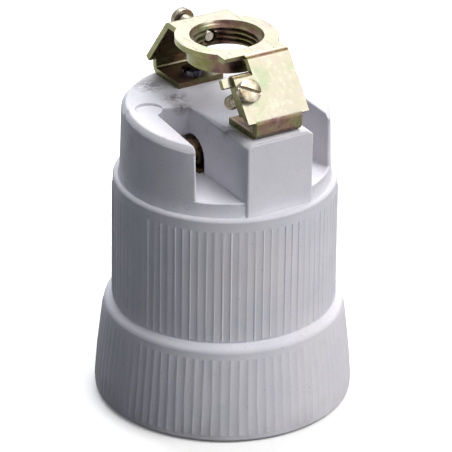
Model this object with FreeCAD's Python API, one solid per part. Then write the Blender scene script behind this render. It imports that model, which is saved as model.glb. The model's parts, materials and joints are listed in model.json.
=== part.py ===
import FreeCAD, Part
import math
import os
from FreeCAD import Vector

# E40 porcelain lamp holder with a folded steel bracket.
# Millimetres, +Z up, origin at the middle of the skirt's rim, open slot mouths towards -Y.

# ---------------------------------------------------------------- porcelain, outside
BARREL_FOOT_RADIUS = 27.9
BARREL_TAPER = 0.2
BARREL_LENGTH = 34.3
BARREL_TOP_RADIUS = BARREL_FOOT_RADIUS - BARREL_TAPER
SKIRT_HEIGHT = 24.3
SKIRT_STEP = 2.1
SKIRT_SPREAD = 2.5
SKIRT_BELLY_BULGE = 0.2
SKIRT_TOP_RADIUS = BARREL_FOOT_RADIUS + SKIRT_STEP
SKIRT_FOOT_RADIUS = SKIRT_TOP_RADIUS + SKIRT_SPREAD
SKIRT_BELLY_HEIGHT = SKIRT_HEIGHT * 0.43
SKIRT_BELLY_RADIUS = SKIRT_FOOT_RADIUS - SKIRT_SPREAD * 0.43 + SKIRT_BELLY_BULGE
SKIRT_SHOULDER_RISE = 1.0
SHOULDER_ROUND = 1.8
RIM_ROUND = 1.0
WAIST_ROUND = 0.4
LEDGE_HEIGHT = SKIRT_HEIGHT + BARREL_LENGTH
LEDGE_ROUND = 0.9
LEDGE_WIDTH = 1.6
CAP_TAPER = 0.6
CAP_LENGTH = 18.9
CAP_FOOT_RADIUS = BARREL_TOP_RADIUS - LEDGE_WIDTH
CAP_TOP_RADIUS = CAP_FOOT_RADIUS - CAP_TAPER
PLATFORM_HEIGHT = LEDGE_HEIGHT + CAP_LENGTH
BLOCK_HALF_WIDTH = 9.3
BLOCK_FACE_INSET = 0.6
BLOCK_FACE_Y = CAP_TOP_RADIUS - BLOCK_FACE_INSET
BLOCK_EDGE_ROUND = 0.6
BLOCK_BEVEL_WIDTH = 1.9
BLOCK_BEVEL_DROP = 1.3
BLOCK_BEVEL_FADE = 0.35
BLOCK_NOSE_CHAMFER = 0.45
CAP_BEVEL_WIDTH = 1.1
CAP_BEVEL_DROP = 1.4
CRESCENT_SLOPE_ANGLE = 3.6
CRESCENT_SLOPE_START = 7.0
RECESS_RADIUS = 3.3
RECESS_DEPTH = 0.5
RECESS_INSET = 6.9
RECESS_Y = 5.4

# ---------------------------------------------------------------- fine ribs round the porcelain
BARREL_RIBS = 88
SKIRT_RIBS = 88
RIB_HEIGHT = 0.20
RIB_BASE = 0.56
RIB_BED = 0.03
BARREL_RIB_RISE = 1.6
BARREL_RIB_DROP = 3.2
SKIRT_RIB_RISE = 2.0
SKIRT_RIB_DROP = 2.4

# ---------------------------------------------------------------- the two wiring slots
SLOT_FLOOR_RISE = 3.6
SLOT_FLOOR_HEIGHT = LEDGE_HEIGHT + SLOT_FLOOR_RISE
SLOT_WIDTH = 8.85
SLOT_END_INNER_Y = 1.9
SLOT_END_SKEW = 3.4
SLOT_END_ROUND = 2.6
SLOT_MOUTH_Y = -CAP_FOOT_RADIUS - 6.0
SLOT_FLARE = 0.95
TIP_ROUND = 0.45
ARCH_RADIUS = 5.0
ARCH_CENTRE_RISE = 3.2
ARCH_DEPTH = 7.2
ARCH_REACH = 3.6

# ---------------------------------------------------------------- lamp contacts
SHELL_SHEET = 0.6
SHELL_THREAD_PITCH = 6.35
SHELL_MINOR_RADIUS = 18.05
SHELL_THREAD_DEPTH = 1.85
SHELL_MAJOR_RADIUS = SHELL_MINOR_RADIUS + SHELL_THREAD_DEPTH
SHELL_TURNS = 4
SHELL_MOUTH_LENGTH = 3.5
SHELL_ROOT_LENGTH = 5.0
SHELL_OPENING_RADIUS = 14.0
SHELL_TAB_HALF_WIDTH = 5.2
SHELL_TAB_REACH = 3.1
STRAP_SHEET = 1.0
STRAP_HALF_WIDTH = 3.6
STRAP_REACH = 3.0
CONTACT_CORNER_ROUND = 1.2
PLUNGER_RADIUS = 5.0
PLUNGER_HEAD_HEIGHT = 2.6
PLUNGER_STEM_RADIUS = 1.6
PLUNGER_GAP = 5.0
PLUNGER_STEM_CLEARANCE = 0.08
CLIP_WIDTH = 1.8
CLIP_SHEET = 0.7
STEM_END_LENGTH = 1.6
SPRING_WIRE_RADIUS = 0.3
SPRING_STEM_GAP = 1.2
SPRING_TURNS = 3.5
SPRING_END_GAP = 0.05
SPRING_STEPS = 16
SPRING_WIRE_SIDES = 8

# ---------------------------------------------------------------- porcelain, inside
FLOOR_THICKNESS = 12.2
CEILING_HEIGHT = SLOT_FLOOR_HEIGHT - FLOOR_THICKNESS
SKIRT_WALL = 4.1
CAVITY_TAPER = 3.4
SHOULDER_INSET = 4.3
SHELL_WELL_GAP = 1.5
CAVITY_MOUTH_RADIUS = SKIRT_FOOT_RADIUS - SKIRT_WALL
CAVITY_SHOULDER_RADIUS = CAVITY_MOUTH_RADIUS - CAVITY_TAPER
CAVITY_SHOULDER_HEIGHT = SKIRT_HEIGHT - SHOULDER_INSET
SHELL_WELL_RADIUS = SHELL_MAJOR_RADIUS + SHELL_SHEET + SHELL_WELL_GAP
CAVITY_ROUND = 0.8
PLUNGER_WELL_GAP = 1.0
PLUNGER_WELL_DEPTH = 8.5

# ---------------------------------------------------------------- bracket
SHEET = 1.5
BRACKET_HEIGHT = 17.5
PLATE_TOP = PLATFORM_HEIGHT + BRACKET_HEIGHT
THREAD_MINOR_RADIUS = 7.48
COLLAR_WALL = 2.32
COLLAR_ENTRY_SPREAD = 1.62
COLLAR_ENTRY_DEPTH = 1.6
COLLAR_DEPTH = 6.0
COLLAR_FLARE = 1.0
PLATE_MARGIN = 2.85
COLLAR_OUTER_RADIUS = THREAD_MINOR_RADIUS + COLLAR_WALL
PLATE_RADIUS = COLLAR_OUTER_RADIUS + PLATE_MARGIN
BEND_MARGIN = 1.35
BEND_Y = PLATE_RADIUS + BEND_MARGIN
LEG_HALF_WIDTH = 8.5
FOOT_HALF_WIDTH = 6.4
LEG_FOOT_INSET = 0.9
LEG_FOOT_Y = BLOCK_FACE_Y - LEG_FOOT_INSET
FLANGE_HEIGHT = 4.6
FOOT_LENGTH = 12.4
BEND_INNER_RADIUS = 0.7
WING_GAP = 0.3
KNEE_BLEND = 3.0
NOTCH_WIDTH = 5.3
NOTCH_DEPTH = 4.6
NOTCH_PLATE_SETBACK = 1.2
TAB_SIDE_GAP = 0.3
TAB_LENGTH = 8.6
EAR_LENGTH = 2.4
EAR_WIDTH = 2.2

# ---------------------------------------------------------------- fasteners
THREAD_CLEARANCE = 0.06
HOLE_CLEARANCE = 0.45
CONTACT_HOLE_CLEARANCE = 0.15
SMALL_SCREW_RADIUS = 1.75
SMALL_HEAD_OVERHANG = 1.15
SMALL_HEAD_RADIUS = SMALL_SCREW_RADIUS + SMALL_HEAD_OVERHANG
SMALL_HEAD_HEIGHT = 2.0
SLOT_CUT_WIDTH = 0.9
SLOT_CUT_SHARE = 0.5
EARTH_SCREW_INSET = 2.4
EARTH_SCREW_X = -LEG_HALF_WIDTH + EARTH_SCREW_INSET
EARTH_SCREW_BELOW_NOTCH = 3.7
EARTH_SCREW_DROP = NOTCH_DEPTH + EARTH_SCREW_BELOW_NOTCH
EARTH_SCREW_LENGTH = 10.0
LOCK_SCREW_DROP = 3.5
LOCK_SCREW_TIP_GAP = 0.52
LOCK_SCREW_HEAD_GAP = 0.8
FOOT_SCREW_SETBACK = 8.5
FOOT_SCREW_Y = LEG_FOOT_Y - FOOT_SCREW_SETBACK
FOOT_SCREW_RADIUS = 2.0
FOOT_HEAD_OVERHANG = 0.9
FOOT_HEAD_RADIUS = FOOT_SCREW_RADIUS + FOOT_HEAD_OVERHANG
FOOT_HEAD_HEIGHT = 1.7
NUT_WALL = 1.5
NUT_FLATS = 2 * (FOOT_SCREW_RADIUS + NUT_WALL)
NUT_HEIGHT = 3.2
NUT_ROOF_THICKNESS = 13.5
NUT_POCKET_ROOF = PLATFORM_HEIGHT - NUT_ROOF_THICKNESS
NUT_POCKET_CLEARANCE = 0.2
FOOT_SCREW_PROUD = 1.0
FIXING_SCREW_RADIUS = 1.25
FIXING_HEAD_OVERHANG = 0.95
FIXING_HEAD_RADIUS = FIXING_SCREW_RADIUS + FIXING_HEAD_OVERHANG
FIXING_HEAD_HEIGHT = 1.6
FIXING_TIP_INSET = 0.1
FIXING_INSET = 0.8
FIXING_OFFSET = BLOCK_HALF_WIDTH - FIXING_INSET
FIXING_GAP = 0.4
SHELL_FIXING_SPREAD = FIXING_HEAD_RADIUS + FIXING_GAP / 2

# ---------------------------------------------------------------- terminals
TERMINAL_SHEET = 1.2
TERMINAL_SIDE_GAP = 0.4
TERMINAL_HALF_WIDTH = ARCH_RADIUS - TERMINAL_SIDE_GAP
TERMINAL_UPRIGHT_INSET = 2.7
TERMINAL_TOP_GAP = 0.8
TERMINAL_FOOT_REACH = 1.1
TERMINAL_SCREW_REACH = 1.4
TERMINAL_HEAD_RADIUS = 3.0
TERMINAL_HEAD_GAP = 0.2
WIRE_GAP = 2.0
CLAMP_SHEET = 0.9
CLAMP_CORNER_ROUND = 0.75

FAR = 200.0
SEARCH_TOLERANCE = 0.05
UP = Vector(0, 0, 1)
ORIGIN = Vector(0, 0, 0)


# ================================================================ geometry helpers
def rounded_wire(corners, place, closed=True):
    """A wire through (u, v, radius) corners, each rounded with its own radius."""
    count = len(corners)
    starts, arcs, ends = [], [], []
    for i, (u, v, radius) in enumerate(corners):
        here = Vector(u, v, 0)
        if radius == 0 or (not closed and i in (0, count - 1)):
            starts.append(here)
            arcs.append(None)
            ends.append(here)
            continue
        before = Vector(*corners[i - 1][:2], 0) - here
        after = Vector(*corners[(i + 1) % count][:2], 0) - here
        before.normalize()
        after.normalize()
        half_angle = before.getAngle(after) / 2
        run = radius / math.tan(half_angle)
        bisector = before + after
        bisector.normalize()
        nearest = here + bisector * (radius / math.sin(half_angle) - radius)
        starts.append(here + before * run)
        arcs.append(nearest)
        ends.append(here + after * run)
    edges = []
    for i in range(count):
        if arcs[i] is not None:
            points = [place(p.x, p.y) for p in (starts[i], arcs[i], ends[i])]
            edges.append(Part.Arc(*points).toShape())
        if i < count - 1 or closed:
            a, b = ends[i], starts[(i + 1) % count]
            if (a - b).Length > 1e-6:
                edges.append(Part.makeLine(place(a.x, a.y), place(b.x, b.y)))
    return Part.Wire(edges)


def in_section(u, v):
    return Vector(u, 0, v)


def in_side_view(u, v):
    return Vector(0, u, v)


def in_plan(u, v):
    return Vector(u, v, 0)


def turned(corners):
    """A solid of revolution about Z from (radius, height, round) corners."""
    face = Part.Face(rounded_wire(corners, in_section))
    return face.revolve(ORIGIN, UP, 360)


def rod(radius, start, end):
    direction = end - start
    return Part.makeCylinder(radius, direction.Length, start, direction)


def box(x_low, x_high, y_low, y_high, z_low, z_high):
    return Part.makeBox(x_high - x_low, y_high - y_low, z_high - z_low, Vector(x_low, y_low, z_low))


def mirrored_x(shape):
    return shape.mirror(ORIGIN, Vector(1, 0, 0))


def mirrored_y(shape):
    return shape.mirror(ORIGIN, Vector(0, 1, 0))


def only_solid(shape):
    shape = shape.removeSplitter()
    if len(shape.Solids) != 1:
        raise ValueError("a piece fell apart into %d solids" % len(shape.Solids))
    return shape.Solids[0]


def hexagon(flats, height, base):
    corner = flats / math.sqrt(3)
    turns = [math.radians(60 * k) for k in range(6)]
    points = [base + Vector(corner * math.cos(turn), corner * math.sin(turn), 0) for turn in turns]
    return Part.Face(Part.makePolygon(points + points[:1])).extrude(UP * height)


def slotted_screw(radius, length, head_radius, head_height, seat, inward, slot_across):
    """A cheese-head screw: seat is the point under its head, inward the way its shank runs."""
    inward = Vector(inward)
    inward.normalize()
    shank_end = seat + inward * length
    tip_chamfer = radius * 0.35
    shank = rod(radius, seat, shank_end - inward * tip_chamfer)
    tip = Part.makeCone(radius, radius - tip_chamfer, tip_chamfer, shank_end - inward * tip_chamfer, inward)
    edge = head_radius * 0.12
    crown = seat - inward * head_height
    drum = rod(head_radius, seat, crown + inward * edge)
    bevel = Part.makeCone(head_radius, head_radius - edge, edge, crown + inward * edge, inward * -1)
    across = Vector(slot_across)
    across.normalize()
    side = across.cross(inward)
    corner = crown - across * (head_radius * 1.2) - side * (SLOT_CUT_WIDTH / 2) - inward * 0.5
    points = [corner, corner + across * (head_radius * 2.4)]
    points += [points[1] + side * SLOT_CUT_WIDTH, points[0] + side * SLOT_CUT_WIDTH]
    depth = head_height * SLOT_CUT_SHARE
    driver_slot = Part.Face(Part.makePolygon(points + points[:1])).extrude(inward * (depth + 0.5))
    return only_solid(drum.fuse([bevel, shank, tip]).cut(driver_slot))


# ================================================================ porcelain body
def skirt_radius(height):
    if height < SKIRT_BELLY_HEIGHT:
        share = height / SKIRT_BELLY_HEIGHT
        return SKIRT_FOOT_RADIUS + (SKIRT_BELLY_RADIUS - SKIRT_FOOT_RADIUS) * share
    share = (height - SKIRT_BELLY_HEIGHT) / (SKIRT_HEIGHT - SKIRT_BELLY_HEIGHT)
    return SKIRT_BELLY_RADIUS + (SKIRT_TOP_RADIUS - SKIRT_BELLY_RADIUS) * share


def barrel_radius(height):
    foot = SKIRT_HEIGHT + SKIRT_SHOULDER_RISE
    share = (height - foot) / (LEDGE_HEIGHT - foot)
    return BARREL_FOOT_RADIUS + (BARREL_TOP_RADIUS - BARREL_FOOT_RADIUS) * share


def ribbed_section(radius, height, count):
    """A closed polygon with a narrow raised rib at each step round the circle."""
    half_base = RIB_BASE / 2 / radius
    points = []
    for k in range(count):
        middle = 2 * math.pi * k / count
        for aside, rise in ((-half_base, 0), (0, RIB_HEIGHT), (half_base, 0)):
            reach = radius + rise
            points.append(Vector(reach * math.cos(middle + aside), reach * math.sin(middle + aside), height))
    return Part.makePolygon(points + points[:1])


def ribbed_core(radius_at, heights, count):
    sections = [ribbed_section(radius_at(h) + RIB_BED, h, count) for h in heights]
    return Part.makeLoft(sections, True, True)


def slot_outer_x(y):
    """Where the crescent's inner wall stands at y; the slot widens slightly towards its mouth."""
    end_y = SLOT_END_INNER_Y + SLOT_END_SKEW
    share = (end_y - y) / (end_y - SLOT_MOUTH_Y)
    return -BLOCK_HALF_WIDTH - SLOT_WIDTH - SLOT_FLARE * share


def slot_cutter():
    """The left wiring slot: open towards -Y, its far end skewed and rounded beside the crescent."""
    end_y = SLOT_END_INNER_Y + SLOT_END_SKEW
    corners = [(-BLOCK_HALF_WIDTH, SLOT_MOUTH_Y, 0), (-BLOCK_HALF_WIDTH, SLOT_END_INNER_Y, 0),
               (slot_outer_x(end_y), end_y, SLOT_END_ROUND), (slot_outer_x(SLOT_MOUTH_Y), SLOT_MOUTH_Y, 0)]
    face = Part.Face(rounded_wire(corners, in_plan))
    face.translate(UP * SLOT_FLOOR_HEIGHT)
    return face.extrude(UP * CAP_LENGTH)


def cap_radius(height):
    share = (height - LEDGE_HEIGHT) / CAP_LENGTH
    return CAP_FOOT_RADIUS - CAP_TAPER * share


def edge_middle(edge):
    return edge.valueAt((edge.FirstParameter + edge.LastParameter) / 2)


def tip_edges(cap):
    """The two upright edges where the crescents' inner walls meet the round outside."""
    found = []
    for edge in cap.Edges:
        p = edge_middle(edge)
        on_wall = abs(math.hypot(p.x, p.y) - cap_radius(p.z)) < SEARCH_TOLERANCE
        on_slot = abs(abs(p.x) + slot_outer_x(p.y)) < SEARCH_TOLERANCE
        if on_wall and on_slot and p.y < 0 and p.z > SLOT_FLOOR_HEIGHT + SEARCH_TOLERANCE:
            found.append(edge)
    return found


def nose_edges(block):
    """The upright front edges of the central block."""
    return [e for e in block.Edges if edge_middle(e).y < -BLOCK_FACE_Y + SEARCH_TOLERANCE
            and abs(e.Vertexes[0].Z - e.Vertexes[-1].Z) > CAP_LENGTH / 2]


def central_block():
    """Flat-faced block between the slots; its front stands a little inside the round outside."""
    block = box(-BLOCK_HALF_WIDTH, BLOCK_HALF_WIDTH, -BLOCK_FACE_Y, 0, LEDGE_HEIGHT, PLATFORM_HEIGHT)
    block = block.makeFillet(BLOCK_EDGE_ROUND, nose_edges(block))
    nose = [e for e in block.Edges if edge_middle(e).y < -BLOCK_FACE_Y + BLOCK_EDGE_ROUND
            and edge_middle(e).z > PLATFORM_HEIGHT - SEARCH_TOLERANCE]
    return block.makeChamfer(BLOCK_NOSE_CHAMFER, nose)


def porcelain_cap():
    """Upper section: central block, two crescents and the solid back that joins them."""
    foot = LEDGE_HEIGHT - LEDGE_ROUND
    cap = Part.makeCone(cap_radius(foot), CAP_TOP_RADIUS, PLATFORM_HEIGHT - foot, Vector(0, 0, foot))
    cutter = slot_cutter()
    cap = cap.cut([cutter, mirrored_x(cutter)])
    cap = cap.makeFillet(TIP_ROUND, tip_edges(cap))
    front = box(-BLOCK_HALF_WIDTH, BLOCK_HALF_WIDTH, -FAR, 0, LEDGE_HEIGHT, FAR)
    return cap.cut(front).cut(crescent_cutters()).fuse(central_block()).cut(block_bevels())


def crescent_cutters():
    """Bevelled rim, tops that fall gently towards the tips, and the shallow round recess in each."""
    outside = CAP_FOOT_RADIUS + CAP_BEVEL_WIDTH
    bevel = turned([(CAP_TOP_RADIUS, -CAP_BEVEL_DROP, 0), (outside, -CAP_BEVEL_DROP, 0),
                    (outside, CAP_BEVEL_DROP, 0),
                    (CAP_TOP_RADIUS - 2 * CAP_BEVEL_WIDTH, CAP_BEVEL_DROP, 0)])
    rear = box(-FAR, FAR, CRESCENT_SLOPE_START, FAR, -FAR, FAR)
    front = box(-FAR, FAR, -FAR, CRESCENT_SLOPE_START, -FAR, FAR)
    level = UP * PLATFORM_HEIGHT
    hinge = Vector(0, CRESCENT_SLOPE_START, PLATFORM_HEIGHT)
    sideways = Vector(1, 0, 0)
    slope = math.tan(math.radians(CRESCENT_SLOPE_ANGLE))
    lowered_centre = UP * (PLATFORM_HEIGHT - CRESCENT_SLOPE_START * slope)
    tilted = bevel.translated(lowered_centre)
    tilted.rotate(lowered_centre, sideways, CRESCENT_SLOPE_ANGLE)
    above = box(-FAR, FAR, -FAR, CRESCENT_SLOPE_START, PLATFORM_HEIGHT, FAR)
    above.rotate(hinge, sideways, CRESCENT_SLOPE_ANGLE)
    recess = Part.makeCylinder(RECESS_RADIUS, CAP_LENGTH, Vector(0, 0, -RECESS_DEPTH))
    recess.rotate(Vector(0, RECESS_RADIUS, -RECESS_DEPTH), sideways, recess_tilt())
    drop = (CRESCENT_SLOPE_START - RECESS_Y) * slope
    recess.translate(Vector(-CAP_TOP_RADIUS + RECESS_INSET, RECESS_Y, PLATFORM_HEIGHT - drop))
    return [bevel.translated(level).common(rear), tilted.common(front), above, recess, mirrored_x(recess)]


def recess_tilt():
    """The recess floor rises from its full depth at the rear to flush with the crescent in front."""
    return -math.degrees(math.atan(RECESS_DEPTH / (2 * RECESS_RADIUS))) + CRESCENT_SLOPE_ANGLE


def block_bevels():
    """Sloping bands along the block's top edges, narrower towards the rear."""
    sections = []
    for y, size in ((SLOT_MOUTH_Y, 1.0), (SLOT_END_INNER_Y, BLOCK_BEVEL_FADE)):
        width = BLOCK_BEVEL_WIDTH * size
        drop = BLOCK_BEVEL_DROP * size
        start = Vector(-BLOCK_HALF_WIDTH - width, y, PLATFORM_HEIGHT - 2 * drop)
        points = [start, Vector(-BLOCK_HALF_WIDTH + 2 * width, y, PLATFORM_HEIGHT + drop),
                  Vector(start.x, y, PLATFORM_HEIGHT + drop)]
        sections.append(Part.makePolygon(points + points[:1]))
    band = Part.makeLoft(sections, True, True)
    return [band, mirrored_x(band)]


def terminal_arch():
    """Round-topped pocket for the terminal, in the block's left wall and the slot's end wall beside it."""
    centre_z = SLOT_FLOOR_HEIGHT + ARCH_CENTRE_RISE
    outer_x = -BLOCK_HALF_WIDTH - ARCH_REACH
    depth = ARCH_DEPTH + ARCH_REACH
    vault = Part.makeCylinder(ARCH_RADIUS, depth, Vector(outer_x, 0, centre_z), Vector(1, 0, 0))
    below = box(outer_x, outer_x + depth, -ARCH_RADIUS, ARCH_RADIUS, SLOT_FLOOR_HEIGHT - FAR, centre_z)
    above_floor = box(-FAR, FAR, -FAR, FAR, SLOT_FLOOR_HEIGHT, FAR)
    return vault.fuse(below).common(above_floor)


def porcelain_cavity():
    """The socket under the holder, from the skirt's mouth to the flat ceiling."""
    below = -1.0
    corners = [(0, below, 0), (CAVITY_MOUTH_RADIUS, below, 0), (CAVITY_MOUTH_RADIUS, CAVITY_ROUND, 0),
               (CAVITY_SHOULDER_RADIUS, CAVITY_SHOULDER_HEIGHT, 2 * CAVITY_ROUND),
               (SHELL_WELL_RADIUS, CAVITY_SHOULDER_HEIGHT, CAVITY_ROUND),
               (SHELL_WELL_RADIUS, CEILING_HEIGHT, CAVITY_ROUND),
               (0, CEILING_HEIGHT, 0)]
    return turned(corners)


def porcelain_passages():
    """Holes and pockets between the socket's ceiling and the top: screws, nuts, plunger well."""
    well_radius = clip_radius() + PLUNGER_WELL_GAP
    cutters = [Part.makeCylinder(well_radius, PLUNGER_WELL_DEPTH + 1, Vector(0, 0, CEILING_HEIGHT - 1))]
    for y in (-FOOT_SCREW_Y, FOOT_SCREW_Y):
        hole_radius = FOOT_SCREW_RADIUS + HOLE_CLEARANCE
        cutters.append(Part.makeCylinder(hole_radius, FAR, Vector(0, y, CEILING_HEIGHT)))
        pocket_height = NUT_POCKET_ROOF - CEILING_HEIGHT + 1
        pocket_base = Vector(0, y, CEILING_HEIGHT - 1)
        cutters.append(hexagon(NUT_FLATS + 2 * NUT_POCKET_CLEARANCE, pocket_height, pocket_base))
    for x, y in fixing_places():
        hole_radius = FIXING_SCREW_RADIUS + HOLE_CLEARANCE
        cutters.append(Part.makeCylinder(hole_radius, FLOOR_THICKNESS + 2, Vector(x, y, CEILING_HEIGHT - 1)))
    return cutters


def fixing_places():
    """Screws that clamp the contacts to the terminals: one on the left, two on the right."""
    return [(-FIXING_OFFSET, 0), (FIXING_OFFSET, -SHELL_FIXING_SPREAD), (FIXING_OFFSET, SHELL_FIXING_SPREAD)]


def porcelain_body():
    shoulder = SKIRT_HEIGHT + SKIRT_SHOULDER_RISE
    lower = turned([
        (0, 0, 0), (SKIRT_FOOT_RADIUS, 0, RIM_ROUND), (SKIRT_BELLY_RADIUS, SKIRT_BELLY_HEIGHT, 0),
        (SKIRT_TOP_RADIUS, SKIRT_HEIGHT, SHOULDER_ROUND), (BARREL_FOOT_RADIUS, shoulder, WAIST_ROUND),
        (BARREL_TOP_RADIUS, LEDGE_HEIGHT, LEDGE_ROUND), (0, LEDGE_HEIGHT, 0)])
    barrel_rib_start = SKIRT_HEIGHT + BARREL_RIB_RISE
    skirt_levels = (SKIRT_RIB_RISE, SKIRT_BELLY_HEIGHT, SKIRT_HEIGHT - SKIRT_RIB_DROP)
    skirt_ribs = ribbed_core(skirt_radius, skirt_levels, SKIRT_RIBS)
    barrel_ribs = ribbed_core(barrel_radius, (barrel_rib_start, LEDGE_HEIGHT - BARREL_RIB_DROP), BARREL_RIBS)
    body = lower.fuse([skirt_ribs, barrel_ribs, porcelain_cap()])
    arch = terminal_arch()
    body = body.cut([porcelain_cavity(), arch, mirrored_x(arch)])
    return only_solid(body.cut(porcelain_passages()))


# ================================================================ bracket
def leg_direction():
    """Unit vector down the front leg, in the side view."""
    drop = BRACKET_HEIGHT - FLANGE_HEIGHT
    run = LEG_FOOT_Y - BEND_Y
    length = math.hypot(run, drop)
    return Vector(0, -run / length, -drop / length)


def leg_normal():
    """Outward normal of the front leg's outer face."""
    along = leg_direction()
    return Vector(0, along.z, -along.y)


def leg_point(distance, lift=0.0):
    """A point on the front leg's outer face, measured down from the bend line."""
    return Vector(0, -BEND_Y, PLATE_TOP) + leg_direction() * distance + leg_normal() * lift


def leg_length():
    return math.hypot(LEG_FOOT_Y - BEND_Y, BRACKET_HEIGHT - FLANGE_HEIGHT)


def folded_strip(points, half_width):
    """A bent strip of sheet: points run along its outer face in the side view."""
    inner = []
    count = len(points)
    for i in range(count):
        normals = []
        for a, b in ((i - 1, i), (i, i + 1)):
            if a >= 0 and b < count:
                run = points[b] - points[a]
                run.normalize()
                normals.append(Vector(-run.y, run.x, 0))
        normal = normals[0] if len(normals) == 1 else normals[0] + normals[1]
        scale = SHEET / normal.dot(normals[0])
        inner.append(points[i] + normal * scale)
    corners = []
    for i, p in enumerate(points):
        bend = 0 if i in (0, count - 1) else BEND_INNER_RADIUS + SHEET
        corners.append((p.x, p.y, bend))
    for i, p in reversed(list(enumerate(inner))):
        bend = 0 if i in (0, count - 1) else BEND_INNER_RADIUS
        corners.append((p.x, p.y, bend))
    face = Part.Face(rounded_wire(corners, in_side_view))
    face.translate(Vector(-half_width, 0, 0))
    return face.extrude(Vector(2 * half_width, 0, 0))


def bracket_leg():
    """Front leg with its wing tips, upright flange and inward foot."""
    top = [Vector(0, PLATE_TOP, 0), Vector(-BEND_Y, PLATE_TOP, 0)]
    knee = Vector(-LEG_FOOT_Y, PLATFORM_HEIGHT + FLANGE_HEIGHT, 0)
    wing_end = leg_point(leg_length() - WING_GAP)
    wide = folded_strip(top + [Vector(wing_end.y, wing_end.z, 0)], LEG_HALF_WIDTH)
    heel = Vector(-LEG_FOOT_Y, PLATFORM_HEIGHT, 0)
    toe = Vector(FOOT_LENGTH - LEG_FOOT_Y, PLATFORM_HEIGHT, 0)
    narrow = folded_strip([top[0], top[1], knee, heel, toe], FOOT_HALF_WIDTH)
    rounded_knee = leg_point(leg_length() - KNEE_BLEND)
    below_knee = box(-FOOT_HALF_WIDTH, FOOT_HALF_WIDTH, -FAR, 0, -FAR, rounded_knee.z)
    return wide.cut(below_knee).fuse(narrow)


def leg_block(x_low, x_high, s_low, s_high, lift_low, lift_high):
    """A box lying along the front leg: s runs down the leg, lift outward from its outer face."""
    start = leg_point(s_low, lift_low) + Vector(x_low, 0, 0)
    corners = [start, start + leg_direction() * (s_high - s_low)]
    lift = leg_normal() * (lift_high - lift_low)
    corners += [corners[1] + lift, start + lift]
    face = Part.Face(Part.makePolygon(corners + corners[:1]))
    return face.extrude(Vector(x_high - x_low, 0, 0))


def earthing_notch():
    """The corner cut out of the front leg, whose metal makes the folded tab."""
    x_high = -LEG_HALF_WIDTH + NOTCH_WIDTH
    through = leg_block(-FAR, x_high, 0, NOTCH_DEPTH, -3 * SHEET, SHEET)
    plate_edge = box(-FAR, x_high, -FAR, -BEND_Y + NOTCH_PLATE_SETBACK, PLATE_TOP - 2 * SHEET, FAR)
    return through.fuse(plate_edge)


def folded_tab():
    """Tab folded over inwards and down behind the leg, doubling the metal under the earth screw."""
    x_low = -LEG_HALF_WIDTH
    x_high = -LEG_HALF_WIDTH + NOTCH_WIDTH - TAB_SIDE_GAP
    fold_start = NOTCH_DEPTH + SHEET / 8
    fold_centre = leg_point(fold_start, -SHEET) + Vector(x_low, 0, 0)
    fold = Part.makeCylinder(SHEET, x_high - x_low, fold_centre, Vector(1, 0, 0))
    tail = leg_block(x_low, x_high, fold_start, NOTCH_DEPTH + TAB_LENGTH, -2 * SHEET, -SHEET)
    ear_start = fold_start - SHEET * 0.75
    ear_end = ear_start + EAR_WIDTH
    ear = leg_block(x_low - EAR_LENGTH, x_low + SHEET / 3, ear_start, ear_end, -2 * SHEET, -SHEET)
    return fold.fuse([tail, ear])


def collar():
    """Collar drawn down from the plate for the pipe thread, with its rounded entry."""
    bottom = PLATE_TOP - COLLAR_DEPTH
    tube = Part.makeCylinder(COLLAR_OUTER_RADIUS, COLLAR_DEPTH, Vector(0, 0, bottom))
    under = PLATE_TOP - SHEET
    root = turned([(0, under - COLLAR_FLARE, 0), (COLLAR_OUTER_RADIUS, under - COLLAR_FLARE, 0),
                   (COLLAR_OUTER_RADIUS + COLLAR_FLARE, under, 0), (0, under, 0)])
    return tube.fuse(root)


def collar_bore():
    top = PLATE_TOP
    waist = THREAD_MINOR_RADIUS + COLLAR_ENTRY_SPREAD * 0.72
    mouth = THREAD_MINOR_RADIUS + COLLAR_ENTRY_SPREAD
    corners = [(0, top - COLLAR_DEPTH - 1, 0), (THREAD_MINOR_RADIUS, top - COLLAR_DEPTH - 1, 0),
               (THREAD_MINOR_RADIUS, top - COLLAR_ENTRY_DEPTH, 0.6),
               (waist, top - COLLAR_ENTRY_DEPTH * 0.55, 1.2),
               (mouth, top + 0.02, 0), (mouth, top + 1, 0), (0, top + 1, 0)]
    return turned(corners)


def lock_screw_height():
    return PLATE_TOP - LOCK_SCREW_DROP


def leg_face_y(height):
    """How far out the rear leg's sloping outer face is at a height."""
    return BEND_Y + (PLATE_TOP - height) * (LEG_FOOT_Y - BEND_Y) / (BRACKET_HEIGHT - FLANGE_HEIGHT)


def bracket_holes():
    height = lock_screw_height()
    thread = SMALL_SCREW_RADIUS + THREAD_CLEARANCE
    clear = SMALL_SCREW_RADIUS + HOLE_CLEARANCE
    between = (COLLAR_OUTER_RADIUS + COLLAR_FLARE + leg_face_y(height) - SHEET) / 2
    lock_thread = rod(thread, Vector(0, 0, height), Vector(0, between, height))
    lock_clear = rod(clear, Vector(0, between, height), Vector(0, LEG_FOOT_Y + 5, height))
    side = Vector(EARTH_SCREW_X, 0, 0)
    drop = EARTH_SCREW_DROP
    earth_clear = rod(clear, leg_point(drop, 3) + side, leg_point(drop, -SHEET) + side)
    earth_thread = rod(thread, leg_point(drop, -SHEET) + side, leg_point(drop, -4 * SHEET) + side)
    foot_holes = [rod(FOOT_SCREW_RADIUS + HOLE_CLEARANCE, Vector(0, y, PLATFORM_HEIGHT - 1),
                      Vector(0, y, PLATFORM_HEIGHT + SHEET + 1)) for y in (-FOOT_SCREW_Y, FOOT_SCREW_Y)]
    return [lock_thread, lock_clear, earth_clear, earth_thread] + foot_holes


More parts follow.
